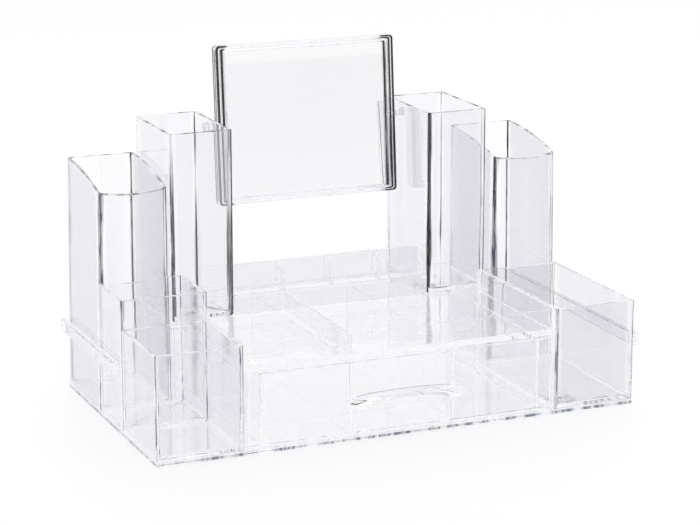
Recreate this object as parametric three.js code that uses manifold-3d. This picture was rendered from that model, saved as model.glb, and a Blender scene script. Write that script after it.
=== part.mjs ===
// Clear desktop organiser: side bins and towers, a tray over a drawer, a short rack
// and a two-sided tilting mirror between two inner towers.
// Millimetres, +Z up, +Y to the back. The origin is under the middle of the overall box.
import * as THREE from 'three';
import { mergeVertices } from 'three/addons/utils/BufferGeometryUtils.js';
import Module from 'manifold-3d';

const wasm = await Module();
wasm.setup();

// Overall
const bodyWidth = 368;
const bodyDepth = 202;
const rimHeight = 79;
const wall = 2.4;
const floorThickness = 2.4;
const gap = 0.3;

// Base plate
const footHeight = 1.6;
const footWidth = 4;
const plateThickness = 1.6;

// Side bins and outer towers
const binWidth = 64.2;
const frontBinDepth = 72;
const frontRowDepth = 124.7;
const stepBinHeight = 99.3;
const outerTowerWidth = 53.9;
const outerTowerHeight = 176;
const outerTowerDrop = 13;
const outerTowerLean = 2.4;
const bow = 5;

// Tray over the drawer
const deckBottom = 60.1;
const deckThickness = 4;
const backLipHeight = 82.4;
const trayDividerOffset = -40.1;

// Inner towers
const stageShift = -2.2;
const stageWidth = 155;
const innerTowerWidth = 48.4;
const innerTowerHeight = 203;

// Rack between the inner towers
const rackCells = 4;
const rackShelfHeight = 79.5;
const rackShelfThickness = 3.5;
const rackShelfDepth = 12.3;
const rackPanelTop = 98.8;
const rackDividerInset = 4.5;
const rackCornerRadius = 7;

// Drawer
const drawerClearance = 0.5;
const drawerFrontThickness = 3;
const drawerFrontLift = 2.4;
const drawerFrontTopClearance = 1.8;
const drawerSideInset = 9;
const drawerWallTop = 56.4;
const drawerBackClearance = 3;
const drawerDividerSpacing = 79;
const handleWidth = 86;
const handleReach = 13.5;
const handleTop = 35.5;
const handleBottom = 26.4;
const handleCrown = 32;
const handleEndFlat = 6;

// Side rails
const railReach = 5;
const railHeight = 9.4;
const railCentre = 49.2;
const leftRailFront = 75;

// Mirror
const frameSideClearance = 6;
const frameHeight = 119;
const frameDepth = 8;
const frameSideBorder = 8.5;
const frameEndBorder = 5.5;
const frameCornerRadius = 3;
const paneLap = 2;
const paneThickness = 1.6;
const mirrorTilt = THREE.MathUtils.degToRad(-4.5);
const pivotFromBack = 26.6;
const pivotBelowRim = 7.5;
const pinRadius = 2;
const pinInsertion = 5;
const pinHeadRadius = 3.6;
const pinHeadThickness = 1.4;
const washerRadius = 4.6;
const roundSegments = 24;

// Lines that several pieces share
const left = -bodyWidth / 2;
const right = bodyWidth / 2;
const front = -(bodyDepth - handleReach) / 2;
const back = front + bodyDepth;
const split = front + frontRowDepth;
const plateTop = footHeight + plateThickness;
const shellBottom = plateTop + gap;
const deckTop = deckBottom + deckThickness;
const onDeck = deckTop + gap;
const centreLeft = left + binWidth + gap;
const centreRight = right - binWidth - gap;
const rearLeft = left + outerTowerWidth + gap;
const rearRight = right - outerTowerWidth - gap;
const stageLeft = stageShift - stageWidth / 2;
const stageRight = stageShift + stageWidth / 2;
const frameWidth = stageWidth - 2 * frameSideClearance;
const pivotY = back - pivotFromBack;
const pivotZ = innerTowerHeight - pivotBelowRim;

// Clear plastic, silvered glass and a white friction washer
const clear = { color: 0xf1f1f8, roughness: 0.04, metalness: 0, transparent: true, opacity: 0.35 };
const silver = { color: 0xdcdde2, roughness: 0.03, metalness: 1 };
const nylon = { color: 0xf4f4f4, roughness: 0.45, metalness: 0 };

function toSolid(geometry) {
  const bare = geometry.clone();
  bare.deleteAttribute('normal');
  bare.deleteAttribute('uv');
  const merged = mergeVertices(bare, 1e-4);
  const vertProperties = new Float32Array(merged.attributes.position.array);
  const triVerts = new Uint32Array(merged.index.array);
  return new wasm.Manifold(new wasm.Mesh({ numProp: 3, vertProperties, triVerts }));
}

function toGeometry(solid) {
  const mesh = solid.getMesh();
  const geometry = new THREE.BufferGeometry();
  geometry.setAttribute('position', new THREE.BufferAttribute(mesh.vertProperties, 3));
  geometry.setIndex(new THREE.BufferAttribute(mesh.triVerts, 1));
  geometry.computeVertexNormals();
  return geometry;
}

function part(name, geometry, finish) {
  const mesh = new THREE.Mesh(geometry, new THREE.MeshStandardMaterial(finish));
  mesh.name = name;
  return mesh;
}

function box(x0, x1, y0, y1, z0, z1) {
  const geometry = new THREE.BoxGeometry(x1 - x0, y1 - y0, z1 - z0);
  return geometry.translate((x0 + x1) / 2, (y0 + y1) / 2, (z0 + z1) / 2);
}

// A plan outline raised from z0 to z1
function raise(outline, z0, z1, curveSegments = 12) {
  const geometry = new THREE.ExtrudeGeometry(outline, { depth: z1 - z0, bevelEnabled: false, curveSegments });
  return geometry.translate(0, 0, z0);
}

// A side outline drawn in (Y, Z) and carried along X
function carryAlongX(outline, x0, x1, curveSegments = 12) {
  const geometry = new THREE.ExtrudeGeometry(outline, { depth: x1 - x0, bevelEnabled: false, curveSegments });
  geometry.applyMatrix4(new THREE.Matrix4().set(0, 0, 1, x0, 1, 0, 0, 0, 0, 1, 0, 0, 0, 0, 0, 1));
  return geometry;
}

// A front outline drawn in (X, Z) and carried along Y
function carryAlongY(outline, y0, y1, curveSegments = 12) {
  const geometry = new THREE.ExtrudeGeometry(outline, { depth: y1 - y0, bevelEnabled: false, curveSegments });
  geometry.rotateX(Math.PI / 2);
  return geometry.translate(0, y1, 0);
}

function outlineOf(points) {
  return new THREE.Shape(points.map(([x, y]) => new THREE.Vector2(x, y)));
}

function roundedRectangle(x0, x1, y0, y1, radius) {
  const shape = new THREE.Shape();
  shape.moveTo(x0 + radius, y0);
  shape.lineTo(x1 - radius, y0);
  shape.absarc(x1 - radius, y0 + radius, radius, -Math.PI / 2, 0);
  shape.lineTo(x1, y1 - radius);
  shape.absarc(x1 - radius, y1 - radius, radius, 0, Math.PI / 2);
  shape.lineTo(x0 + radius, y1);
  shape.absarc(x0 + radius, y1 - radius, radius, Math.PI / 2, Math.PI);
  shape.lineTo(x0, y0 + radius);
  shape.absarc(x0 + radius, y0 + radius, radius, Math.PI, Math.PI * 1.5);
  return shape;
}

// The bowed line between the front row and a tower: an arc over the tower's width whose
// middle stands forward by the bow. The offset moves it forward along its own radius.
function bowLine(x0, x1, offset, inset = 0) {
  const half = (x1 - x0) / 2;
  const radius = (half * half + bow * bow) / (2 * bow);
  const centreY = split - bow + radius;
  const reach = half - inset;
  const steps = 10;
  return Array.from({ length: steps + 1 }, (_, i) => {
    const x = -reach + (2 * reach * i) / steps;
    return [(x0 + x1) / 2 + x, centreY - Math.sqrt((radius + offset) ** 2 - x * x)];
  });
}

// An open-topped cup: its outer shape less a cavity that starts a floor above the bottom
function cup(outer, cavity) {
  return toSolid(outer).subtract(toSolid(cavity));
}

function boxCup(x0, x1, y0, y1, z0, z1) {
  const over = 10;
  return cup(
    box(x0, x1, y0, y1, z0, z1),
    box(x0 + wall, x1 - wall, y0 + wall, y1 - wall, z0 + floorThickness, z1 + over),
  );
}

// Base plate on a foot rim
function makeBasePlate() {
  const slab = toSolid(box(left, right, front, back, 0, plateTop));
  const recess = toSolid(
    box(left + footWidth, right - footWidth, front + footWidth, back - footWidth, -footHeight, footHeight),
  );
  return part('base_plate', toGeometry(slab.subtract(recess)), clear);
}

// Side bin whose back wall follows the bow of the tower behind it
function makeBowedBin(name, x0, x1, y0, z1, towerX0, towerX1) {
  const over = 10;
  const towerOnLeft = towerX0 <= x0;
  const outerLine = bowLine(towerX0, towerX1, gap);
  const cavityLine = bowLine(towerX0, towerX1, gap + wall, wall);
  const straightOuter = split - gap;
  const straightCavity = split - gap - wall;
  const outerBack = towerOnLeft
    ? [[x1, straightOuter], ...outerLine.reverse()]
    : [...outerLine.reverse(), [x0, straightOuter]];
  const cavityBack = towerOnLeft
    ? [[x1 - wall, straightCavity], ...cavityLine.reverse()]
    : [...cavityLine.reverse(), [x0 + wall, straightCavity]];
  const outer = outlineOf([[x0, y0], [x1, y0], ...outerBack]);
  const cavity = outlineOf([[x0 + wall, y0 + wall], [x1 - wall, y0 + wall], ...cavityBack]);
  const solid = cup(raise(outer, shellBottom, z1), raise(cavity, shellBottom + floorThickness, z1 + over));
  return part(name, toGeometry(solid), clear);
}

// Outer tower: bowed front wall, outer wall leaning in, and a rim that curves down to the front
function makeOuterTower(name, side) {
  const over = 10;
  const outerX = side * (bodyWidth / 2);
  const innerX = outerX - side * outerTowerWidth;
  const x0 = Math.min(outerX, innerX);
  const x1 = Math.max(outerX, innerX);
  const outer = outlineOf([...bowLine(x0, x1, 0), [x1, back], [x0, back]]);
  const cavityFront = bowLine(x0, x1, -wall, wall);
  const cavity = outlineOf([...cavityFront, [x1 - wall, back - wall], [x0 + wall, back - wall]]);
  const top = outerTowerHeight + over;
  const solid = cup(
    leaned(raise(outer, shellBottom, top), innerX, outerX, side),
    leaned(raise(cavity, shellBottom + floorThickness, top + over), innerX, outerX, side),
  );
  const drop = carryAlongX(rimCutOutline(), left - over, right + over);
  return part(name, toGeometry(solid.subtract(toSolid(drop))), clear);
}

// Moves points inward in proportion to their height and to their distance from the upright wall
function leaned(geometry, innerX, outerX, side) {
  const position = geometry.attributes.position;
  const rise = outerTowerHeight - shellBottom;
  for (let i = 0; i < position.count; i += 1) {
    const across = (position.getX(i) - innerX) / (outerX - innerX);
    const up = (position.getZ(i) - shellBottom) / rise;
    position.setX(i, position.getX(i) - side * outerTowerLean * across * up);
  }
  return geometry;
}

// What is above the rim: a circle that is level at the back and lower by the drop at the front
function rimCutOutline() {
  const over = 20;
  const run = bodyDepth - frontRowDepth + bow;
  const radius = (run * run + outerTowerDrop * outerTowerDrop) / (2 * outerTowerDrop);
  const steps = 14;
  const arc = Array.from({ length: steps + 1 }, (_, i) => {
    const y = (run * i) / steps;
    return [back - y, outerTowerHeight - radius + Math.sqrt(radius * radius - y * y)];
  });
  const frontZ = arc[steps][1];
  return outlineOf([
    [back + over, outerTowerHeight],
    [back + over, outerTowerHeight + 2 * over],
    [back - run - over, outerTowerHeight + 2 * over],
    [back - run - over, frontZ],
    ...arc.reverse(),
  ]);
}

// Drawer housing: side walls and back wall, wider behind the front row
function makeDrawerHousing() {
  const shoulder = split;
  const plan = outlineOf([
    [centreLeft, front],
    [centreLeft + wall, front],
    [centreLeft + wall, shoulder + wall],
    [rearLeft + wall, shoulder + wall],
    [rearLeft + wall, back - wall],
    [rearRight - wall, back - wall],
    [rearRight - wall, shoulder + wall],
    [centreRight - wall, shoulder + wall],
    [centreRight - wall, front],
    [centreRight, front],
    [centreRight, shoulder],
    [rearRight, shoulder],
    [rearRight, back],
    [rearLeft, back],
    [rearLeft, shoulder],
    [centreLeft, shoulder],
  ]);
  return part('drawer_housing', raise(plan, shellBottom, deckBottom - gap), clear);
}

// Tray deck with its rim walls and a low lip at the back between the inner towers
function makeUpperTray() {
  const plan = outlineOf([
    [centreLeft, front],
    [centreRight, front],
    [centreRight, split],
    [rearRight, split],
    [rearRight, back],
    [rearLeft, back],
    [rearLeft, split],
    [centreLeft, split],
  ]);
  const lipLeft = stageLeft + gap;
  const lipRight = stageRight - gap;
  const solid = toSolid(raise(plan, deckBottom, deckTop))
    .add(toSolid(box(centreLeft, centreRight, front, front + wall, deckBottom, rimHeight)))
    .add(toSolid(box(centreLeft, centreLeft + wall, front, split - gap, deckBottom, rimHeight)))
    .add(toSolid(box(centreRight - wall, centreRight, front, split - gap, deckBottom, rimHeight)))
    .add(toSolid(box(lipLeft, lipRight, back - wall, back, deckBottom, backLipHeight)));
  return part('upper_tray', toGeometry(solid), clear);
}

function makeTrayDivider() {
  const x0 = trayDividerOffset - wall / 2;
  const geometry = box(x0, x0 + wall, front + wall + gap, split - gap, onDeck, rimHeight);
  return part('tray_divider', geometry, clear);
}

// Inner tower with a hole for the mirror's pin in the wall that faces the mirror
function makeInnerTower(name, side) {
  const near = side < 0 ? stageLeft : stageRight;
  const far = near + side * innerTowerWidth;
  const x0 = Math.min(near, far);
  const x1 = Math.max(near, far);
  const solid = boxCup(x0, x1, split, back, onDeck, innerTowerHeight);
  const drill = new THREE.CylinderGeometry(pinRadius + gap, pinRadius + gap, wall * 3, roundSegments);
  drill.rotateZ(Math.PI / 2);
  drill.translate(near + (side * wall) / 2, pivotY, pivotZ);
  return part(name, toGeometry(solid.subtract(toSolid(drill))), clear);
}

// Rack: an angled section carried between the towers, with upright dividers on its shelf
function makeRack() {
  const x0 = stageLeft + gap;
  const x1 = stageRight - gap;
  const panelFront = split + rackShelfDepth;
  const section = outlineOf([
    [split, onDeck],
    [split + wall, onDeck],
    [split + wall, rackShelfHeight - rackShelfThickness],
    [panelFront + wall, rackShelfHeight - rackShelfThickness],
    [panelFront + wall, rackPanelTop],
    [panelFront, rackPanelTop],
    [panelFront, rackShelfHeight],
    [split, rackShelfHeight],
  ]);
  let solid = toSolid(carryAlongX(section, x0, x1));
  const pitch = stageWidth / rackCells;
  for (let i = 1; i <= rackCells; i += 1) {
    const middle = stageLeft + pitch * i;
    const d1 = Math.min(middle + wall / 2, x1);
    solid = solid.add(toSolid(carryAlongX(rackDividerOutline(panelFront), d1 - wall, d1, 6)));
  }
  return part('holder_rack', toGeometry(solid), clear);
}

// Divider: slants back towards the top and turns over a rounded upper front corner
function rackDividerOutline(panelFront) {
  const topY = split + rackDividerInset;
  const base = rackShelfHeight - rackShelfThickness / 2;
  const shape = new THREE.Shape();
  shape.moveTo(split, base);
  shape.lineTo(panelFront + wall / 2, base);
  shape.lineTo(panelFront + wall / 2, rackPanelTop);
  shape.lineTo(topY + rackCornerRadius, rackPanelTop);
  shape.quadraticCurveTo(topY, rackPanelTop, topY - rackDividerInset / 3, rackPanelTop - rackCornerRadius);
  shape.lineTo(split, base);
  return shape;
}

// Drawer: wide floor, inset side walls and a back wall; the front panel closes it
function makeDrawerBody() {
  const x0 = centreLeft + wall + drawerClearance;
  const x1 = centreRight - wall - drawerClearance;
  const y0 = front + drawerFrontThickness + gap;
  const y1 = back - wall - drawerBackClearance;
  const z0 = shellBottom;
  const floorTop = z0 + floorThickness;
  const s0 = x0 + drawerSideInset;
  const s1 = x1 - drawerSideInset;
  const solid = toSolid(box(x0, x1, y0, y1, z0, floorTop))
    .add(toSolid(box(s0, s0 + wall, y0, y1, z0, drawerWallTop)))
    .add(toSolid(box(s1 - wall, s1, y0, y1, z0, drawerWallTop)))
    .add(toSolid(box(s0, s1, y1 - wall, y1, z0, drawerWallTop)));
  return part('drawer_body', toGeometry(solid), clear);
}

function makeDrawerFront() {
  const x0 = centreLeft + wall + drawerClearance;
  const x1 = centreRight - wall - drawerClearance;
  const z0 = shellBottom + drawerFrontLift;
  const z1 = deckBottom - drawerFrontTopClearance;
  return part('drawer_front', box(x0, x1, front, front + drawerFrontThickness, z0, z1), clear);
}

function makeDrawerDivider(name, side) {
  const middle = (side * drawerDividerSpacing) / 2;
  const y0 = front + drawerFrontThickness + gap;
  const y1 = back - wall - drawerBackClearance - wall - gap;
  const z0 = shellBottom + floorThickness + gap;
  return part(name, box(middle - wall / 2, middle + wall / 2, y0, y1, z0, drawerWallTop), clear);
}

// Pull: a ledge with an arched underside
function makeDrawerHandle() {
  const half = handleWidth / 2;
  const spring = half - handleEndFlat;
  const rise = handleCrown - handleBottom;
  const radius = (spring * spring + rise * rise) / (2 * rise);
  const steps = 14;
  const arch = Array.from({ length: steps + 1 }, (_, i) => {
    const x = -spring + (2 * spring * i) / steps;
    return [x, handleCrown - radius + Math.sqrt(radius * radius - x * x)];
  });
  const section = outlineOf([[-half, handleBottom], ...arch, [half, handleBottom], [half, handleTop], [-half, handleTop]]);
  return part('drawer_handle', carryAlongY(section, front - handleReach, front - gap), clear);
}

// Rail along a side, with a rounded front end
function makeSideRail(name, side, y0) {
  const inner = side * (bodyWidth / 2 + gap);
  const outer = side * (bodyWidth / 2 + railReach);
  const x0 = Math.min(inner, outer);
  const x1 = Math.max(inner, outer);
  const radius = (x1 - x0) / 2;
  const plan = new THREE.Shape();
  plan.moveTo(x1, y0 + radius);
  plan.lineTo(x1, back);
  plan.lineTo(x0, back);
  plan.lineTo(x0, y0 + radius);
  plan.absarc(x0 + radius, y0 + radius, radius, Math.PI, Math.PI * 2);
  return part(name, raise(plan, railCentre - railHeight / 2, railCentre + railHeight / 2, 8), clear);
}

// Mirror frame half: a ring with a lip over the pane, split on the pin axis.
// In the mirror's own frame the pin axis is the X axis and the front half lies at -Y.
function makeFrameHalf(name, side) {
  const over = 5;
  const halfW = frameWidth / 2;
  const halfH = frameHeight / 2;
  const windowW = halfW - frameSideBorder;
  const windowH = halfH - frameEndBorder;
  const pocketW = windowW + paneLap + gap;
  const pocketH = windowH + paneLap + gap;
  const pocketDepth = gap / 2 + paneThickness + gap;
  const inner = side * (gap / 2);
  const outer = (side * frameDepth) / 2;
  const ringOutline = roundedRectangle(-halfW, halfW, -halfH, halfH, frameCornerRadius);
  const ring = carryAlongY(ringOutline, Math.min(inner, outer), Math.max(inner, outer), 4);
  const window = box(-windowW, windowW, -frameDepth, frameDepth, -windowH, windowH);
  const pocketOuter = side * pocketDepth;
  const pocketInner = -side * over;
  const pocketY = [Math.min(pocketOuter, pocketInner), Math.max(pocketOuter, pocketInner)];
  const pocket = box(-pocketW, pocketW, ...pocketY, -pocketH, pocketH);
  let solid = toSolid(ring).subtract(toSolid(window)).subtract(toSolid(pocket));
  for (const end of [-1, 1]) {
    const depth = pinInsertion + gap;
    const bore = new THREE.CylinderGeometry(pinRadius + gap, pinRadius + gap, depth + over, roundSegments);
    bore.rotateZ(Math.PI / 2);
    bore.translate(end * (halfW - depth + (depth + over) / 2), 0, 0);
    solid = solid.subtract(toSolid(bore));
  }
  return part(name, toGeometry(solid), clear);
}

function makePane(name, side) {
  const halfW = frameWidth / 2 - frameSideBorder + paneLap;
  const halfH = frameHeight / 2 - frameEndBorder + paneLap;
  const near = side * (gap / 2);
  const far = side * (gap / 2 + paneThickness);
  return part(name, box(-halfW, halfW, Math.min(near, far), Math.max(near, far), -halfH, halfH), silver);
}

// Headed pin from inside the tower, through its wall and the washer, into the frame
function makePin(name, side) {
  const headStart = stageWidth / 2 + wall + gap;
  const headEnd = headStart + pinHeadThickness;
  const tip = frameWidth / 2 - pinInsertion;
  const profile = [
    [0, tip],
    [pinRadius, tip],
    [pinRadius, headStart],
    [pinHeadRadius, headStart],
    [pinHeadRadius, headEnd],
    [0, headEnd],
  ];
  const points = profile.map(([r, x]) => new THREE.Vector2(r, x));
  const geometry = new THREE.LatheGeometry(points, roundSegments);
  geometry.rotateZ((-side * Math.PI) / 2);
  return part(name, toGeometry(toSolid(geometry)), clear);
}

function makeWasher(name, side) {
  const bore = pinRadius + gap;
  const x0 = frameWidth / 2 + gap;
  const x1 = stageWidth / 2 - gap;
  const profile = [[bore, x0], [washerRadius, x0], [washerRadius, x1], [bore, x1], [bore, x0]];
  const points = profile.map(([r, x]) => new THREE.Vector2(r, x));
  const geometry = new THREE.LatheGeometry(points, roundSegments);
  geometry.rotateZ((-side * Math.PI) / 2);
  return part(name, toGeometry(toSolid(geometry)), nylon);
}

const organiser = new THREE.Group();
organiser.add(makeBasePlate());
const leftBinEnd = left + binWidth;
const stepStart = front + frontBinDepth;
organiser.add(part(
  'left_front_bin',
  toGeometry(boxCup(left, leftBinEnd, front, stepStart - gap, shellBottom, rimHeight)),
  clear,
));
organiser.add(makeBowedBin(
  'left_step_bin', left, leftBinEnd, stepStart, stepBinHeight, left, left + outerTowerWidth,
));
organiser.add(makeBowedBin(
  'right_bin', right - binWidth, right, front, rimHeight, right - outerTowerWidth, right,
));
organiser.add(makeOuterTower('outer_tower_left', -1));
organiser.add(makeOuterTower('outer_tower_right', 1));
organiser.add(makeDrawerHousing());
organiser.add(makeUpperTray());
organiser.add(makeTrayDivider());
organiser.add(makeInnerTower('inner_tower_left', -1));
organiser.add(makeInnerTower('inner_tower_right', 1));
organiser.add(makeRack());
organiser.add(makeSideRail('side_rail_left', -1, front + leftRailFront));
organiser.add(makeSideRail('side_rail_right', 1, front));
organiser.add(makeDrawerBody());
organiser.add(makeDrawerFront());
organiser.add(makeDrawerHandle());
organiser.add(makeDrawerDivider('drawer_divider_left', -1));
organiser.add(makeDrawerDivider('drawer_divider_right', 1));

const mirror = new THREE.Group();
mirror.position.set(stageShift, pivotY, pivotZ);
mirror.rotation.x = mirrorTilt;
mirror.add(makeFrameHalf('mirror_frame_front', -1));
mirror.add(makeFrameHalf('mirror_frame_rear', 1));
mirror.add(makePane('mirror_pane_front', -1));
mirror.add(makePane('mirror_pane_rear', 1));
mirror.add(makePin('pivot_pin_left', -1));
mirror.add(makePin('pivot_pin_right', 1));
mirror.add(makeWasher('pivot_washer_left', -1));
mirror.add(makeWasher('pivot_washer_right', 1));
organiser.add(mirror);

export default organiser;
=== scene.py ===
import math

import bmesh
import bpy
import numpy as np
from mathutils import Matrix, Vector


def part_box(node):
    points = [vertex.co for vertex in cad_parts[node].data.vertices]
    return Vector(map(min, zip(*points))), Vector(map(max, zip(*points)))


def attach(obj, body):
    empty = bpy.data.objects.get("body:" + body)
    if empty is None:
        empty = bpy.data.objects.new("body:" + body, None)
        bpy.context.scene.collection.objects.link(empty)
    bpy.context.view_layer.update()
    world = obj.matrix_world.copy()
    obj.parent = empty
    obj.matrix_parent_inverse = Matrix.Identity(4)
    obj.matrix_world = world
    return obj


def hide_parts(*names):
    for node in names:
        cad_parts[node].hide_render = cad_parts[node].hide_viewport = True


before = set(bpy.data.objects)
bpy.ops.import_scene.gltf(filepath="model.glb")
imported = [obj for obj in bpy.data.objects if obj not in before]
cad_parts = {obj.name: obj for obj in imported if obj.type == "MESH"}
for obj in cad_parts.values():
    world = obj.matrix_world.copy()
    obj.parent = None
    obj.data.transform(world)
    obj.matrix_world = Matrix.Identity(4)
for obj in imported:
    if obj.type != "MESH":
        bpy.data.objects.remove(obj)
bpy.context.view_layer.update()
mm = 0.001
print("frame loaded:", len(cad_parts), "nodes")


cameraSettings = {"azimuth": -23.12, "elevation": 14.45, "distance": 1.8286, "lens": 127.8,
                  "aim": (0.0045, 0.0128, 0.0999)}


def placeCamera():
    # the camera stands on a sphere round the aim point, azimuth from -Y towards +X
    az = math.radians(cameraSettings["azimuth"])
    el = math.radians(cameraSettings["elevation"])
    aim = Vector(cameraSettings["aim"])
    away = Vector((math.sin(az) * math.cos(el), -math.cos(az) * math.cos(el), math.sin(el)))
    data = bpy.data.cameras.new("camera")
    data.lens = cameraSettings["lens"]
    data.sensor_width = 36
    data.clip_start = 0.05
    data.clip_end = 60
    camera = bpy.data.objects.new("camera", data)
    camera.location = aim + away * cameraSettings["distance"]
    camera.rotation_euler = (-away).to_track_quat("-Z", "Y").to_euler()
    bpy.context.scene.collection.objects.link(camera)
    bpy.context.scene.camera = camera


lightSettings = {
    # brightness of the room low down and overhead, the overhead tint, and the heights between them
    "worldLow": 1.0, "worldHigh": 0.985, "highTint": (0.995, 0.995, 1.01), "lowAt": 0.25, "highAt": 0.75,
    "aim": (0, 0, 0.1),
    "softboxes": [
        # place, size, watts
        {"name": "overheadSoftbox", "at": (0.1, 0.5, 2.3), "size": (3.0, 2.6), "watts": 6},
        {"name": "leftSoftbox", "at": (-2.2, -0.6, 1.1), "size": (1.0, 1.6), "watts": 1.2},
        {"name": "rightSoftbox", "at": (2.2, 0.2, 1.2), "size": (1.2, 1.8), "watts": 2},
    ],
}


def lightRoom():
    # room light: bright low down and dimmer overhead, the same all round
    world = bpy.data.worlds.new("paleRoom")
    bpy.context.scene.world = world
    world.use_nodes = True
    nodes, links = world.node_tree.nodes, world.node_tree.links
    nodes.clear()
    coordinate = nodes.new("ShaderNodeTexCoord")
    split = nodes.new("ShaderNodeSeparateXYZ")
    ramp = nodes.new("ShaderNodeValToRGB")
    background = nodes.new("ShaderNodeBackground")
    output = nodes.new("ShaderNodeOutputWorld")
    low, high = lightSettings["worldLow"], lightSettings["worldHigh"]
    ramp.color_ramp.elements[0].position = lightSettings["lowAt"]
    ramp.color_ramp.elements[0].color = (low, low, low, 1)
    ramp.color_ramp.elements[1].position = lightSettings["highAt"]
    ramp.color_ramp.elements[1].color = (*[high * c for c in lightSettings["highTint"]], 1)
    links.new(coordinate.outputs["Generated"], split.inputs[0])
    links.new(split.outputs["Z"], ramp.inputs["Fac"])
    links.new(ramp.outputs["Color"], background.inputs["Color"])
    links.new(background.outputs[0], output.inputs["Surface"])
    for box in lightSettings["softboxes"]:
        data = bpy.data.lights.new(box["name"], "AREA")
        data.shape = "RECTANGLE"
        data.size, data.size_y = box["size"]
        data.energy = box["watts"]
        lamp = bpy.data.objects.new(box["name"], data)
        lamp.location = box["at"]
        toAim = Vector(lightSettings["aim"]) - lamp.location
        lamp.rotation_euler = toAim.to_track_quat("-Z", "Y").to_euler()
        bpy.context.scene.collection.objects.link(lamp)


floorSettings = {"reach": 9.0, "below": 0.0004, "colour": (0.955, 0.955, 0.956, 1), "roughness": 0.6}


def makeFloor():
    reach, z = floorSettings["reach"], -floorSettings["below"]
    mesh = bpy.data.meshes.new("floor")
    mesh.from_pydata([(-reach, -reach, z), (reach, -reach, z), (reach, reach, z), (-reach, reach, z)],
                     [], [(0, 1, 2, 3)])
    floor = bpy.data.objects.new("floor", mesh)
    bpy.context.scene.collection.objects.link(floor)
    paint = bpy.data.materials.new("palePaper")
    paint.use_nodes = True
    shader = paint.node_tree.nodes["Principled BSDF"]
    shader.inputs["Base Color"].default_value = floorSettings["colour"]
    shader.inputs["Roughness"].default_value = floorSettings["roughness"]
    mesh.materials.append(paint)


placeCamera()
lightRoom()
makeFloor()
print("camera, light and floor set")


plasticSettings = {
    # tintAndShade, side and level: colour of a front or back wall, of a side wall and of a floor, partly the
    # plastic's
    # faint tint and partly painted shade, so the pieces below get lit and shaded copies of one clear
    # plastic; graze:
    # painted shade where a wall is seen along its face; paintedEdgeDark: how dark the painted lines and
    # glints at corners go; depthColour and depth: how light darkens on a long run inside; lamp: light that
    # each face lets through to the desk
    "clearShell": {"slot": "clear_shell", "tintAndShade": (0.986, 0.986, 0.991), "side": (0.966, 0.966, 0.978),
                   "level": (0.993, 0.993, 0.996), "graze": (0.80, 0.80, 0.84), "paintedEdgeDark": 0.50,
                   "depthColour": (0.84, 0.85, 0.88), "depth": 2.0, "lamp": (0.990, 0.990, 0.991)},
    "clearLeft": {"slot": "clear_shell", "tintAndShade": (0.972, 0.972, 0.978), "side": (0.925, 0.923, 0.940),
                  "level": (0.995, 0.995, 0.997), "graze": (0.80, 0.80, 0.84), "paintedEdgeDark": 0.74,
                  "depthColour": (0.84, 0.85, 0.88), "depth": 2.0, "lamp": (0.990, 0.990, 0.991)},
    "clearRight": {"slot": "clear_shell", "tintAndShade": (0.875, 0.873, 0.893), "side": (0.915, 0.913, 0.930),
                   "level": (0.990, 0.990, 0.993), "graze": (0.80, 0.80, 0.84), "paintedEdgeDark": 0.74,
                   "depthColour": (0.84, 0.85, 0.88), "depth": 2.0, "lamp": (0.990, 0.990, 0.991)},
    "clearTower": {"slot": "clear_shell", "tintAndShade": (0.982, 0.982, 0.989), "side": (0.790, 0.786, 0.820),
                   "level": (0.990, 0.990, 0.993), "graze": (0.60, 0.60, 0.66), "paintedEdgeDark": 0.25,
                   "depthColour": (0.82, 0.83, 0.87), "depth": 4.0, "lamp": (0.990, 0.990, 0.991)},
    "clearInner": {"slot": "clear_shell", "tintAndShade": (0.930, 0.928, 0.945), "side": (0.925, 0.924, 0.945),
                   "level": (0.990, 0.990, 0.993), "graze": (0.60, 0.60, 0.66), "paintedEdgeDark": 0.02,
                   "depthColour": (0.82, 0.83, 0.87), "depth": 4.0, "lamp": (0.990, 0.990, 0.991)},
    "clearRack": {"slot": "clear_shell", "tintAndShade": (0.870, 0.868, 0.890), "side": (0.985, 0.985, 0.990),
                  "level": (0.990, 0.990, 0.993), "graze": (0.75, 0.75, 0.80), "paintedEdgeDark": 0.30,
                  "depthColour": (0.84, 0.85, 0.88), "depth": 2.0, "lamp": (0.990, 0.990, 0.991)},
    "clearDrawer": {"slot": "clear_drawer", "tintAndShade": (0.994, 0.994, 0.996), "side": (0.985, 0.985, 0.990),
                    "level": (0.997, 0.997, 0.998), "graze": (0.88, 0.88, 0.90), "paintedEdgeDark": 0.58,
                    "depthColour": (0.86, 0.87, 0.89), "depth": 1.5, "lamp": (0.996, 0.996, 0.997)},
    "clearPull": {"slot": "clear_drawer", "tintAndShade": (0.960, 0.960, 0.964), "side": (0.960, 0.960, 0.965),
                  "level": (0.990, 0.990, 0.992), "graze": (0.90, 0.90, 0.92), "paintedEdgeDark": 0.03,
                  "depthColour": (0.86, 0.87, 0.89), "depth": 1.5, "lamp": (0.996, 0.996, 0.997)},
    "clearFrame": {"slot": "clear_frame", "tintAndShade": (0.985, 0.985, 0.990), "side": (0.94, 0.94, 0.955),
                   "level": (0.96, 0.96, 0.97), "graze": (0.50, 0.50, 0.55), "paintedEdgeDark": 0.0006,
                   "depthColour": (0.82, 0.83, 0.86), "depth": 4.0, "lamp": (0.99, 0.99, 0.992)},
}
# painted dark lines, highlights and blue and orange glints that a moulded corner shows along its length,
# from noise 0.3 to 0.74
paintedCornerGlints = [(0.30, (0.02, 0.02, 0.03)), (0.405, (0.10, 0.10, 0.12)), (0.44, (0.84, 0.84, 0.88)),
                 (0.50, (0.94, 0.94, 0.96)), (0.53, (0.60, 0.59, 0.60)), (0.55, (0.02, 0.02, 0.03)),
                 (0.59, (0.03, 0.08, 0.25)), (0.615, (0.93, 0.95, 0.98)), (0.66, (0.96, 0.84, 0.68)),
                 (0.74, (0.97, 0.97, 0.98))]
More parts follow.
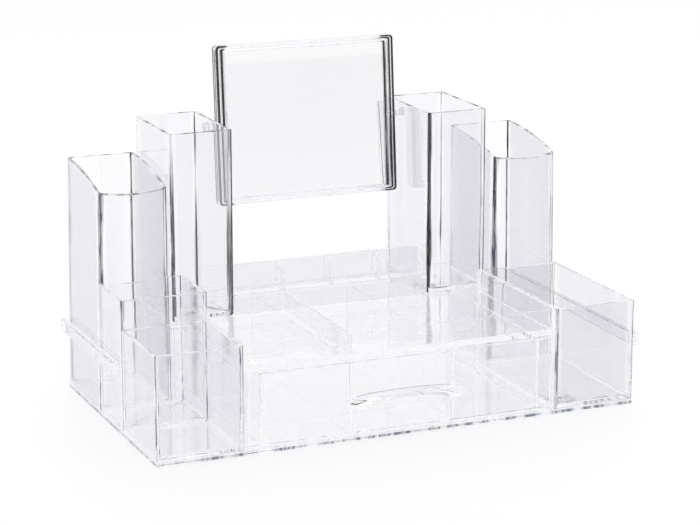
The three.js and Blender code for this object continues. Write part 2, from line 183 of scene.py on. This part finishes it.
# where the edge mark turns to the painted highlight line and to the painted dark lines and glints, and how
# far the noise moves them
edgeSettings = {"paintedHighlight": (0.998, 0.998, 0.999), "haloFrom": 0.05, "haloTo": 0.30, "coreFrom": 0.50,
                "coreTo": 0.72, "wander": 0.36, "noiseFrom": 0.3, "noiseTo": 0.7}
mouldSettings = {
    "ior": 1.5,
    # the power that keeps "graze" to walls seen along their face, and the bounces light makes in a wall
    # before it counts as trapped
    "grazePower": 14.0, "trappedAfter": 15.0,
    # painted glints along a corner: noise scale and detail, and how far they are drawn out along Z
    "streakScale": 110.0, "streakDetail": 2.5, "streakStretch": 0.16,
    # haze: noise scale and detail, the part of the noise that shows, and the roughness at its top
    "hazeScale": 18.0, "hazeDetail": 4.0, "hazeFrom": 0.45, "hazeTo": 0.8, "hazeRough": 0.035,
    # waves: noise scale and detail, strength, and height in metres
    "waveScale": 30.0, "waveDetail": 1.0, "waveStrength": 0.25, "waveHeight": 0.0006,
}
plastics = {}


def addNode(tree, kind, links=(), **values):
    # one node with its socket values, and links given as (output socket, input name)
    node = tree.nodes.new(kind)
    for key, value in values.items():
        node.inputs[key.replace("_", " ")].default_value = value
    for source, target in links:
        tree.links.new(source, node.inputs[target])
    return node


def mixColours(tree, factor, first, second):
    # each colour is a tuple of three or a socket
    mix = tree.nodes.new("ShaderNodeMix")
    mix.data_type = "RGBA"
    tree.links.new(factor, mix.inputs["Factor"])
    for key, value in (("A", first), ("B", second)):
        if isinstance(value, tuple):
            mix.inputs[key].default_value = (*value, 1)
        else:
            tree.links.new(value, mix.inputs[key])
    return mix.outputs["Result"]


def addMath(tree, operation, first, second):
    # first is a socket; second is a socket or a number
    node = addNode(tree, "ShaderNodeMath", [(first, 0)])
    node.operation = operation
    if isinstance(second, float):
        node.inputs[1].default_value = second
    else:
        tree.links.new(second, node.inputs[1])
    return node.outputs[0]


def paintCornerGlints(tree, place):
    # noise drawn out along Z, and the painted glint colour that it picks for a moulded corner
    m = mouldSettings
    stretch = addNode(tree, "ShaderNodeMapping", [(place, "Vector")], Scale=(1, 1, m["streakStretch"]))
    streak = addNode(tree, "ShaderNodeTexNoise", [(stretch.outputs[0], "Vector")],
                     Scale=m["streakScale"], Detail=m["streakDetail"])
    ramp = addNode(tree, "ShaderNodeValToRGB", [(streak.outputs["Fac"], "Fac")])
    stops = ramp.color_ramp.elements
    while len(stops) < len(paintedCornerGlints):
        stops.new(0.5)
    for stop, (position, colour) in zip(stops, paintedCornerGlints):
        stop.position = position
        stop.color = (*colour, 1)
    return streak.outputs["Fac"], ramp.outputs["Color"]


def paintedWallShade(tree, settings):
    # painted shade: the wall's colour set by which way it faces on the piece itself, and painted darker
    # where it is seen along its face
    normal = tree.nodes.new("ShaderNodeNewGeometry").outputs["Normal"]
    outward = addNode(tree, "ShaderNodeVectorMath", [(normal, 0)])
    outward.operation = "ABSOLUTE"
    split = addNode(tree, "ShaderNodeSeparateXYZ", [(outward.outputs[0], 0)])
    facing = addNode(tree, "ShaderNodeLayerWeight", Blend=0.5)
    graze = addMath(tree, "POWER", facing.outputs["Facing"], mouldSettings["grazePower"])
    side = mixColours(tree, split.outputs["X"], settings["tintAndShade"], settings["side"])
    level = mixColours(tree, split.outputs["Z"], side, settings["level"])
    return mixColours(tree, graze, level, settings["graze"])


def linedColour(tree, wall, noise, paintedGlints, paintedEdgeDark):
    # where "edge" marks a corner: a painted highlight line either side, and painted dark lines and glints
    # along its middle, whose width wanders with the noise
    e = edgeSettings
    toned = addNode(tree, "ShaderNodeVectorMath", [(paintedGlints, 0)])
    toned.operation = "MULTIPLY"
    toned.inputs[1].default_value = (paintedEdgeDark,) * 3
    edge = tree.nodes.new("ShaderNodeAttribute")
    edge.attribute_name = "edge"
    wander = addNode(tree, "ShaderNodeMapRange", [(noise, "Value")], From_Min=e["noiseFrom"],
                     From_Max=e["noiseTo"], To_Min=-e["wander"] / 2, To_Max=e["wander"] / 2)
    marked = addMath(tree, "ADD", edge.outputs["Fac"], wander.outputs[0])
    paintedHighlight = addNode(tree, "ShaderNodeMapRange", [(edge.outputs["Fac"], "Value")],
                   From_Min=e["haloFrom"], From_Max=e["haloTo"])
    core = addNode(tree, "ShaderNodeMapRange", [(marked, "Value")],
                   From_Min=e["coreFrom"], From_Max=e["coreTo"])
    lined = mixColours(tree, paintedHighlight.outputs[0], wall, e["paintedHighlight"])
    return mixColours(tree, core.outputs[0], lined, toned.outputs[0])


def addHaze(tree, place, shader):
    # the slight haze and waviness that a mould leaves
    m = mouldSettings
    haze = addNode(tree, "ShaderNodeTexNoise", [(place, "Vector")],
                   Scale=m["hazeScale"], Detail=m["hazeDetail"])
    rough = addNode(tree, "ShaderNodeMapRange", [(haze.outputs["Fac"], "Value")],
                    From_Min=m["hazeFrom"], From_Max=m["hazeTo"], To_Min=0.0, To_Max=m["hazeRough"])
    tree.links.new(rough.outputs[0], shader.inputs["Roughness"])
    wave = addNode(tree, "ShaderNodeTexNoise", [(place, "Vector")],
                   Scale=m["waveScale"], Detail=m["waveDetail"])
    bump = addNode(tree, "ShaderNodeBump", [(wave.outputs["Fac"], "Height")],
                   Strength=m["waveStrength"], Distance=m["waveHeight"])
    tree.links.new(bump.outputs[0], shader.inputs["Normal"])


def letLampThrough(tree, shader, lampColour):
    # light on its way to the desk or to a wall goes straight through, dimmed a little at each face,
    # and so does light that has bounced so often inside a wall that it would be lost
    lamp = addNode(tree, "ShaderNodeBsdfTransparent", Color=(*lampColour, 1))
    path = tree.nodes.new("ShaderNodeLightPath")
    swap = tree.nodes.new("ShaderNodeMixShader")
    trapped = addMath(tree, "GREATER_THAN", path.outputs["Ray Depth"], mouldSettings["trappedAfter"])
    loose = addMath(tree, "MAXIMUM", path.outputs["Is Diffuse Ray"], trapped)
    straight = addMath(tree, "MAXIMUM", path.outputs["Is Shadow Ray"], loose)
    tree.links.new(straight, swap.inputs[0])
    tree.links.new(shader.outputs[0], swap.inputs[1])
    tree.links.new(lamp.outputs[0], swap.inputs[2])
    return swap.outputs[0]


def makePlastic(name):
    # clear moulded plastic: refracting, faintly tinted and painted with shade by the way each wall faces,
    # with painted highlight lines, dark lines and glints at its corners and rims, a little hazy, and darker
    # the further light runs inside it
    if name in plastics:
        return plastics[name]
    settings = plasticSettings[name]
    material = bpy.data.materials.new(name)
    material.use_nodes = True
    tree = material.node_tree
    shader = tree.nodes["Principled BSDF"]
    output = tree.nodes["Material Output"]
    shader.inputs["Transmission Weight"].default_value = 1.0
    shader.inputs["IOR"].default_value = mouldSettings["ior"]
    place = tree.nodes.new("ShaderNodeTexCoord").outputs["Object"]
    noise, paintedGlints = paintCornerGlints(tree, place)
    wall = paintedWallShade(tree, settings)
    colour = linedColour(tree, wall, noise, paintedGlints, settings["paintedEdgeDark"])
    tree.links.new(colour, shader.inputs["Base Color"])
    addHaze(tree, place, shader)
    surface = letLampThrough(tree, shader, settings["lamp"])
    tree.links.new(surface, output.inputs["Surface"])
    depth = addNode(tree, "ShaderNodeVolumeAbsorption", Color=(*settings["depthColour"], 1),
                    Density=settings["depth"])
    tree.links.new(depth.outputs[0], output.inputs["Volume"])
    plastics[name] = material
    return material


# cloudScale and cloudDim: scale of the faint clouds in the silver, and how bright they leave it
silverSettings = {"colour": (0.95, 0.952, 0.958), "roughness": 0.012,
                  "cloudScale": 9.0, "cloudDim": 0.98}


def makeSilver():
    material = bpy.data.materials.new("silveredGlass")
    material.use_nodes = True
    nodes, links = material.node_tree.nodes, material.node_tree.links
    shader = nodes["Principled BSDF"]
    shader.inputs["Metallic"].default_value = 1.0
    shader.inputs["Roughness"].default_value = silverSettings["roughness"]
    place = nodes.new("ShaderNodeTexCoord")
    cloud = nodes.new("ShaderNodeTexNoise")
    cloud.inputs["Scale"].default_value = silverSettings["cloudScale"]
    links.new(place.outputs["Object"], cloud.inputs["Vector"])
    ramp = nodes.new("ShaderNodeValToRGB")
    tone = silverSettings["colour"]
    ramp.color_ramp.elements[0].color = (*[c * silverSettings["cloudDim"] for c in tone], 1)
    ramp.color_ramp.elements[1].color = (*tone, 1)
    links.new(cloud.outputs["Fac"], ramp.inputs["Fac"])
    links.new(ramp.outputs["Color"], shader.inputs["Base Color"])
    return material


# fade: share of a corner's mark that the sides' end points keep; evenWeight: pull of larger faces on normals
ringSettings = {"fade": 0.6, "evenWeight": 80}


def planRing(x0, x1, y0, y1, radius, along=2, corner=6, weights=(1, 1, 1, 1)):
    # rounded rectangle, counter-clockwise from the front left: a straight run of points on each side
    # and a quarter circle at each corner. The marks rise as a sine to the middle of each corner's turn,
    # to that corner's weight (front right, back right, back left, front left). A side with more than two
    # points fades them out along its first and last stretch.
    side = np.linspace(0, 1, along)
    turn = np.linspace(0, 1, corner + 2)[1:-1] * math.pi / 2
    xs, ys, marks = [], [], []

    def run(ax, ay, bx, by, first, last):
        xs.append(ax + (bx - ax) * side)
        ys.append(ay + (by - ay) * side)
        fade = np.zeros(along)
        if along > 2:
            fade[0] = ringSettings["fade"] * weights[first]
            fade[-1] = ringSettings["fade"] * weights[last]
        marks.append(fade)

    def bend(cx, cy, start, weight):
        xs.append(cx + radius * np.cos(start + turn))
        ys.append(cy + radius * np.sin(start + turn))
        marks.append(weight * np.sin(2 * turn))

    r = radius
    run(x0 + r, y0, x1 - r, y0, 3, 0)
    bend(x1 - r, y0 + r, -math.pi / 2, weights[0])
    run(x1, y0 + r, x1, y1 - r, 0, 1)
    bend(x1 - r, y1 - r, 0, weights[1])
    run(x1 - r, y1, x0 + r, y1, 1, 2)
    bend(x0 + r, y1 - r, math.pi / 2, weights[2])
    run(x0, y1 - r, x0, y0 + r, 2, 3)
    bend(x0 + r, y0 + r, math.pi, weights[3])
    return np.concatenate(xs), np.concatenate(ys), np.concatenate(marks)


def stackFaces(rings, points, closed):
    # quads between neighbouring rings; a closed stack joins its last ring to its first
    count = rings if closed else rings - 1
    row = np.arange(count)[:, None] * points
    nextRow = ((np.arange(count)[:, None] + 1) % rings) * points
    i = np.arange(points)[None, :]
    j = (i + 1) % points
    quads = np.stack([row + i, row + j, nextRow + j, nextRow + i], axis=-1).reshape(-1, 4)
    return quads.tolist()


def placePiece(name, mesh):
    # smooth piece at the origin, whose normals lean to its larger faces
    mesh.shade_smooth()
    piece = bpy.data.objects.new(name, mesh)
    bpy.context.scene.collection.objects.link(piece)
    even = piece.modifiers.new("evenFaces", "WEIGHTED_NORMAL")
    even.weight = ringSettings["evenWeight"]
    return piece


def meshFromRings(name, rings, edges, closed=False, flip=False):
    # rings: an array of ring, point, xyz; the first and last rings are capped unless the stack is closed
    count, points = rings.shape[:2]
    faces = stackFaces(count, points, closed)
    if not closed:
        faces.append(list(range(points))[::-1])
        faces.append(list(range((count - 1) * points, count * points)))
    if flip:
        faces = [f[::-1] for f in faces]
    mesh = bpy.data.meshes.new(name)
    mesh.from_pydata(rings.reshape(-1, 3).tolist(), [], faces)
    mark = mesh.attributes.new("edge", "FLOAT", "POINT")
    mark.data.foreach_set("value", edges.reshape(-1).astype(np.float32))
    mesh.update()
    return placePiece(name, mesh)


def finish(piece, material, slotName, body, *nodes):
    piece.data.materials.clear()
    piece.data.materials.append(material)
    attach(piece, body)
    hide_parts(*nodes)
    return piece


cupSettings = {
    "wall": 2.4, "floor": 2.4, "rimRound": 0.7, "bottomRound": 1.2, "innerFillet": 1.8,
    # outer and inner corner radius of a bin and of a tower, and how dark each corner's painted lines and
    # glints go, from the front right round by the back
    "bin": (1.8, 1.0), "tower": (3.0, 2.0),
    "weights": {"frontBinLeft": (0.95, 0.80, 0.80, 0.88), "stepBinLeft": (0.85, 0.78, 0.78, 0.88),
                "longBinRight": (0.90, 0.78, 0.80, 1.0), "outerTowerLeft": (1.0, 0.78, 0.90, 0.90),
                "outerTowerRight": (0.90, 0.78, 0.80, 1.0), "innerTowerLeft": (1.15, 0.70, 0.64, 0.72),
                "innerTowerRight": (0.85, 0.68, 0.66, 0.90)},
    # rimMark, bottomMark and filletMark: how strongly the painted lines and glints show at the rim, the
    # bottom and the inner fillet
    "rimMark": {"bin": 0.54, "tower": 0.64}, "bottomMark": 0.54, "filletMark": 0.28,
    # how much rounder the corners get at the inner fillet
    "filletRounder": 0.2,
    # points along a side of a plain bin, and of a tower or a bin with a bowed wall
    "along": 2, "alongBowed": 18,
}
quarterTurn = np.linspace(0, math.pi / 2, 5)
rimTurn = np.linspace(0, math.pi / 2, 4)


def cupProfile(shape):
    # (inset, where, height offset, corner radius, edge mark) from the underside up the outside,
    # over the rim and down the inside to the floor. Heights are from the bottom or from the rim.
    s = cupSettings
    wall, rim, low, fillet = s["wall"], s["rimRound"], s["bottomRound"], s["innerFillet"]
    (outer, inner), rimMark = s[shape], s["rimMark"][shape]
    rows = []
    for a in quarterTurn:
        inset = low * (1 - math.sin(a))
        rows.append((inset, 0, low * (1 - math.cos(a)), outer,
                     s["bottomMark"] * float(0 < a < math.pi / 2)))
    for a in rimTurn:
        inset = rim * (1 - math.cos(a))
        rows.append((inset, 1, -rim * (1 - math.sin(a)), outer - inset, rimMark * float(a > 0)))
    for a in rimTurn[::-1]:
        inset = wall - rim * (1 - math.cos(a))
        rows.append((inset, 1, -rim * (1 - math.sin(a)), inner, rimMark * float(a > 0)))
    for a in quarterTurn:
        inset = wall + fillet * (1 - math.cos(a))
        rows.append((inset, 0, s["floor"] + fillet * (1 - math.sin(a)), inner + s["filletRounder"],
                     s["filletMark"] * float(0 < a < math.pi / 2)))
    return rows


def makeCup(name, node, body, material, rimAt=None, bowFront=None, bowRear=None, lean=None):
    # the profile carried round a rounded rectangle. A bow moves y forwards by one minus the square of
    # the distance from its middle, the most at its own wall. rimAt gives the rim's height from y. A lean
    # moves x in proportion to height and to the distance from the wall that stays upright.
    low, high = (np.array(v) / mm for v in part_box(node))
    along = cupSettings["alongBowed" if "tower" in node or bowRear else "along"]
    x0, x1, y1 = low[0], high[0], high[1]
    y0 = low[1] + (bowFront["by"] if bowFront else 0)
    rings, marks = [], []
    shape = "tower" if "tower" in node else "bin"
    for inset, where, offset, radius, edge in cupProfile(shape):
        xs, ys, corner = planRing(x0 + inset, x1 - inset, y0 + inset, y1 - inset, radius, along,
                                  weights=cupSettings["weights"][name])
        share = (ys - y0) / (y1 - y0)
        for bow, weight in ((bowFront, 1 - share), (bowRear, share)):
            if bow:
                across = (xs - bow["middle"]) / bow["half"]
                ys = ys - bow["by"] * np.clip(1 - across ** 2, 0, 1) * weight
        top = rimAt(ys) if rimAt is not None else np.full_like(ys, high[2])
        zs = (top if where else np.full_like(ys, low[2])) + offset
        if lean:
            across = (xs - lean["from"]) / (lean["to"] - lean["from"])
            xs = xs + lean["by"] * across * (zs - low[2]) / (high[2] - low[2])
        rings.append(np.stack([xs, ys, zs], axis=-1))
        marks.append(np.maximum(corner, edge))
    piece = meshFromRings(name, np.array(rings) * mm, np.array(marks))
    return finish(piece, makePlastic(material), plasticSettings[material]["slot"], body, node)


# bow of a tower's front wall, drop of its rim to the front, and lean of its outer wall at the top
towerSettings = {"bow": 5.0, "rimDrop": 13.0, "lean": 2.4}
towerLow, towerHigh = (np.array(v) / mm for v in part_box("outer_tower_left"))
rightLow, rightHigh = (np.array(v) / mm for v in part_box("outer_tower_right"))


def bowAcross(low, high):
    return {"by": towerSettings["bow"], "middle": (low[0] + high[0]) / 2, "half": (high[0] - low[0]) / 2}


bowLeft = bowAcross(towerLow, towerHigh)
bowRight = bowAcross(rightLow, rightHigh)
leanLeft = {"from": towerHigh[0], "to": towerLow[0], "by": towerSettings["lean"]}
leanRight = {"from": rightLow[0], "to": rightHigh[0], "by": -towerSettings["lean"]}


def towerRim(ys):
    # circle that is level at the back and lower by the drop at the front of the bow
    run, drop = towerHigh[1] - towerLow[1], towerSettings["rimDrop"]
    radius = (run * run + drop * drop) / (2 * drop)
    back = np.clip(towerHigh[1] - ys, 0, run)
    return towerHigh[2] - radius + np.sqrt(radius * radius - back * back)


makeCup("frontBinLeft", "left_front_bin", "organizer", "clearLeft")
makeCup("stepBinLeft", "left_step_bin", "organizer", "clearLeft", bowRear=bowLeft)
makeCup("longBinRight", "right_bin", "organizer", "clearRight", bowRear=bowRight)
makeCup("outerTowerLeft", "outer_tower_left", "organizer", "clearTower", rimAt=towerRim,
        bowFront=bowLeft, lean=leanLeft)
makeCup("outerTowerRight", "outer_tower_right", "organizer", "clearTower", rimAt=towerRim,
        bowFront=bowRight, lean=leanRight)
makeCup("innerTowerLeft", "inner_tower_left", "organizer", "clearInner")
makeCup("innerTowerRight", "inner_tower_right", "organizer", "clearInner")
print("bins and towers made")


roundingSettings = {
    # corners closer than this in metres are one; faces within the first angle in degrees are one flat
    # face, and edges over the second are rounded, in this many steps
    "mergeWithin": 2e-6, "flatWithin": 0.5, "sharpOver": 25, "segments": 3,
    # a face is upright when its normal's z is under this
    "uprightUnder": 0.15,
    # edge marks, which set the painted dark lines and glints, on rounded upright corners, and on other
    # rounded edges of a piece that names none
    "uprightMark": 0.9, "levelMark": 0.56,
}
# width: how far the rounding reaches; levelMark: edge mark for painted lines on rims; sideMark: least mark
# for painted dark lines on upright sides
bevelSettings = {
    "traySurround": {"nodes": "upper_tray", "body": "organizer", "width": 0.6, "levelMark": 0.62,
                     "finish": "clearShell"},
    "drawerBay": {"nodes": "drawer_housing", "body": "organizer", "width": 0.5, "finish": "clearShell"},
    "trayPartition": {"nodes": "tray_divider", "body": "organizer", "width": 0.6,
                      "finish": "clearShell"},
    "fourCellRack": {"nodes": "holder_rack", "body": "organizer", "width": 0.8, "levelMark": 0.66,
                     "finish": "clearRack"},
    "basePlate": {"nodes": "base_plate", "body": "organizer", "width": 0.6, "levelMark": 0.4,
                  "sideMark": 0.64, "finish": "clearShell"},
    "railLeft": {"nodes": "side_rail_left", "body": "organizer", "width": 0.9, "levelMark": 0.66,
                 "finish": "clearShell"},
    "railRight": {"nodes": "side_rail_right", "body": "organizer", "width": 0.9, "levelMark": 0.66,
                  "finish": "clearShell"},
    "drawerTray": {"nodes": "drawer_body", "body": "drawer", "width": 0.6, "finish": "clearDrawer"},
    "drawerFrontPanel": {"nodes": "drawer_front", "body": "drawer", "width": 0.9,
                         "finish": "clearDrawer"},
    "drawerPartitionLeft": {"nodes": "drawer_divider_left", "body": "drawer", "width": 0.6,
                            "finish": "clearDrawer"},
    "drawerPartitionRight": {"nodes": "drawer_divider_right", "body": "drawer", "width": 0.6,
                             "finish": "clearDrawer"},
    "pivotPinLeft": {"nodes": "pivot_pin_left", "body": "mirror", "width": 0.3,
                     "finish": "clearFrame"},
    "pivotPinRight": {"nodes": "pivot_pin_right", "body": "mirror", "width": 0.3,
                      "finish": "clearFrame"},
    "spacerLeft": {"nodes": "pivot_washer_left", "body": "organizer", "width": 0.4,
                   "finish": "clearFrame"},
    "spacerRight": {"nodes": "pivot_washer_right", "body": "organizer", "width": 0.4,
                    "finish": "clearFrame"},
}


def roundedCopy(name, settings):
    # the frame's own shape, merged, its flat faces joined, and its sharp edges rounded
    s = roundingSettings
    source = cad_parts[settings["nodes"]]
    mesh = source.data.copy()
    mesh.name = name
    work = bmesh.new()
    work.from_mesh(mesh)
    bmesh.ops.remove_doubles(work, verts=work.verts, dist=s["mergeWithin"])
    bmesh.ops.dissolve_limit(work, angle_limit=math.radians(s["flatWithin"]), verts=work.verts,
                             edges=work.edges)
    least = math.radians(s["sharpOver"])
    sharp = [e for e in work.edges if len(e.link_faces) == 2 and e.calc_face_angle(0) > least]
    work.normal_update()
    made = bmesh.ops.bevel(work, geom=sharp, offset=settings["width"] * mm, segments=s["segments"],
                           profile=0.5, affect="EDGES", clamp_overlap=True)
    fresh = set(made["faces"])
    mark = work.verts.layers.float.new("edge")
    levelMark, sideMark = settings.get("levelMark", s["levelMark"]), settings.get("sideMark", 0.0)
    for vert in work.verts:
        inside = all(f in fresh for f in vert.link_faces)
        steep = [abs(f.normal.z) < s["uprightUnder"] for f in vert.link_faces]
        if inside:
            vert[mark] = s["uprightMark"] if all(steep) else levelMark
        if any(steep):
            vert[mark] = max(vert[mark], sideMark)
    work.to_mesh(mesh)
    work.free()
    piece = placePiece(name, mesh)
    finishName = settings["finish"]
    return finish(piece, makePlastic(finishName), plasticSettings[finishName]["slot"],
                  settings["body"], settings["nodes"])


for pieceName, pieceSettings in bevelSettings.items():
    roundedCopy(pieceName, pieceSettings)
print("plate, tray, rack, rails, drawer and pins made")


pullSettings = {
    # powers that square the section and round the ends off in plan
    "corner": 0.28, "endRound": 6,
    # arch: half its span, how much narrower at the front, and its height; topRise: crown of the top
    "archHalf": 37.0, "frontNarrow": 7.0, "crown": 6.0, "topRise": 0.9,
    # height left at the ends, the angle left off at each end, sections, and points round each
    "endTall": 0.35, "endGap": 0.004, "stations": 61, "around": 60,
    # painted dark lines: where they lie and how wide, how dark round the arch and elsewhere, and how fast
    # they set in at the ends of the arch
    "lineAt": 0.75, "lineWidth": 0.19, "archMark": 1.4, "plainMark": 0.45, "archOnset": 3,
}


def makePull():
    # finger ledge: along X each section is a squared ring, y and z as cosine and sine raised to a small
    # power; it thins to nothing at both ends, and its underside rises in an arch, narrower at the front
    s = pullSettings
    low, high = (np.array(v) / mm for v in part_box("drawer_handle"))
    half, middle = (high[0] - low[0]) / 2, (high[0] + low[0]) / 2
    u = -np.cos(np.linspace(s["endGap"], math.pi - s["endGap"], s["stations"]))[:, None]
    turn = np.linspace(0, 2 * math.pi, s["around"], endpoint=False)[None, :]
    across = np.sign(np.cos(turn)) * np.abs(np.cos(turn)) ** s["corner"]
    upward = np.sign(np.sin(turn)) * np.abs(np.sin(turn)) ** s["corner"]
    full = (1 - np.abs(u) ** s["endRound"]) ** (1 / s["endRound"])
    back, reach = high[1], high[1] - low[1]
    ys = back - reach * full * (0.5 - 0.5 * across)
    forward = (back - ys) / reach
    arch = np.sqrt(np.clip(1 - (u * half / (s["archHalf"] - s["frontNarrow"] * forward)) ** 2, 0, 1))
    bottom = low[2] + s["crown"] * arch
    top = high[2] - s["topRise"] * u ** 2
    centre, tall = (top + bottom) / 2, (top - bottom) / 2
    ends = s["endTall"] + (1 - s["endTall"]) * full
    zs = centre + tall * upward * ends
    xs = middle + half * u + 0 * turn
    nearEdge = np.exp(-((np.abs(np.cos(turn)) - s["lineAt"]) / s["lineWidth"]) ** 2)
    underside = (np.sin(turn) < 0) * np.clip(arch * s["archOnset"], 0, 1)
    marks = nearEdge * np.maximum(s["archMark"] * underside, s["plainMark"])
    piece = meshFromRings("drawerPull", np.stack([xs, ys, zs], axis=-1) * mm, marks)
    return finish(piece, makePlastic("clearPull"), "clear_drawer", "drawer", "drawer_handle")


makePull()
print("drawer pull made")


mirrorSettings = {
    "width": 143.0, "height": 119.0, "tilt": -4.5, "sideBorder": 8.5, "endBorder": 5.5,
    "paneLap": 2.3, "lip": 2.05, "split": 0.15,
    # corner radius outside, how fast it falls towards the window, and its least value
    "corner": 3.0, "cornerFall": 0.5, "cornerLeast": 0.4,
    # painted line marks: share kept by the rear half, the rear half's painted dark outer side between two
    # heights, the outer side's ends, and the width of the change from side marks to end marks
    "rearMark": 0.62, "sideMark": 0.9, "sideDark": (0.5, 2.9), "endMark": 0.1, "blend": 2.0,
    # rows up the outer side and across the border, and points along a side and round a corner
    "sideRows": 9, "borderRows": 46, "along": 30, "round": 4,
    # height of the border's ridges in front of the middle, from share 0 outside to 1 at the window
    "ridges": [(0.0, 3.2), (0.03, 3.7), (0.08, 4.0), (0.25, 4.0), (0.29, 3.2), (0.46, 3.0), (0.50, 3.6),
               (0.56, 3.9), (0.66, 3.9), (0.72, 3.3), (0.90, 2.8), (1.0, 2.3)],
    # painted dark and light lines along the border: from, to, and how dark
    "paintedLinesLeft": [(0.0, 1.0, 0.2), (0.03, 0.29, 0.80), (0.47, 0.68, 1.0), (0.84, 0.87, 0.58)],
    "paintedLinesRight": [(0.0, 1.0, 0.2), (0.05, 0.25, 1.0), (0.33, 0.55, 1.0), (0.70, 0.82, 0.62),
                     (0.82, 0.97, 0.80)],
    "paintedLinesEnd": [(0.0, 0.12, 0.35), (0.40, 0.46, 0.45), (0.92, 1.0, 0.45)],
}


def mirrorPlace(points):
    # from the mirror's own frame (x, y back, z up from the pin axis) to its rest place
    middle = (Vector(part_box("mirror_frame_front")[0]) + Vector(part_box("mirror_frame_rear")[1])) / 2
    turn = np.array(Matrix.Rotation(math.radians(mirrorSettings["tilt"]), 3, "X"))
    return points @ turn.T + np.array(middle)


def lineMarks(share, paintedLines):
    # the painted line mark at one share of the border: the last painted line that covers it
    mark = 0.0
    for begin, stop, value in paintedLines:
        mark = value if begin <= share <= stop else mark
    return mark


def makeFrameHalf(name, node, side):
    # the border's section carried round a rounded rectangle; side is -1 for the half in front
    s = mirrorSettings
    halfW, halfH = s["width"] / 2, s["height"] / 2
    shares = np.linspace(0, 1, s["borderRows"])
    heights = np.interp(shares, *zip(*s["ridges"]))
    strength = 1.0 if side < 0 else s["rearMark"]
    # each row: inset from the side and from the end, height, and painted line marks at left, right and ends
    rows = []
    darkFrom, darkTo = s["sideDark"]
    for height in np.linspace(s["split"], heights[0], s["sideRows"], endpoint=False):
        dark = s["sideMark"] * float(side > 0 and darkFrom < height < darkTo)
        rows.append((0, 0, height, dark, dark, s["endMark"]))
    for share, height in zip(shares, heights):
        left = strength * lineMarks(share, s["paintedLinesLeft"])
        right = strength * lineMarks(share, s["paintedLinesRight"])
        end = lineMarks(share, s["paintedLinesEnd"])
        rows.append((share * s["sideBorder"], share * s["endBorder"], height, left, right, end))
    pocketX, pocketZ = s["sideBorder"] - s["paneLap"], s["endBorder"] - s["paneLap"]
    rows.append((s["sideBorder"], s["endBorder"], s["lip"], 0, 0, 0))
    rows.append((pocketX, pocketZ, s["lip"], 0, 0, 0))
    rows.append((pocketX, pocketZ, s["split"], 0, 0, 0))
    rings, marks = [], []
    for insetX, insetZ, height, left, right, end in rows:
        radius = max(s["corner"] - s["cornerFall"] * insetX, s["cornerLeast"])
        xs, zs = planRing(-halfW + insetX, halfW - insetX, -halfH + insetZ, halfH - insetZ,
                          radius, along=s["along"], corner=s["round"])[:2]
        onSide = np.clip((np.abs(xs) - (halfW - s["sideBorder"])) / s["blend"] + 1, 0, 1)
        rings.append(np.stack([xs, side * height * np.ones_like(xs), zs], axis=-1))
        marks.append(end + (np.where(xs < 0, left, right) - end) * onSide)
    points = mirrorPlace(np.array(rings) * mm)
    piece = meshFromRings(name, points, np.array(marks), closed=True, flip=side > 0)
    return finish(piece, makePlastic("clearFrame"), "clear_frame", "mirror", node)


makeFrameHalf("mirrorFrameFront", "mirror_frame_front", -1)
makeFrameHalf("mirrorFrameRear", "mirror_frame_rear", 1)
silver = makeSilver()
for nodeName in ("mirror_pane_front", "mirror_pane_rear"):
    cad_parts[nodeName].data.materials.clear()
    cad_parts[nodeName].data.materials.append(silver)
print("mirror made")

# glossy bounces count every reflection inside a wall, so fewer of them turn the corners black
lightPathSettings = {"throughWalls": 40, "diffuse": 3, "transparent": 64}
scene = bpy.context.scene
scene.view_settings.view_transform = "Standard"
scene.cycles.max_bounces = lightPathSettings["throughWalls"]
scene.cycles.transmission_bounces = lightPathSettings["throughWalls"]
scene.cycles.glossy_bounces = lightPathSettings["throughWalls"]
scene.cycles.diffuse_bounces = lightPathSettings["diffuse"]
scene.cycles.transparent_max_bounces = lightPathSettings["transparent"]
scene.cycles.caustics_refractive = False
scene.cycles.caustics_reflective = False
scene.cycles.use_denoising = True
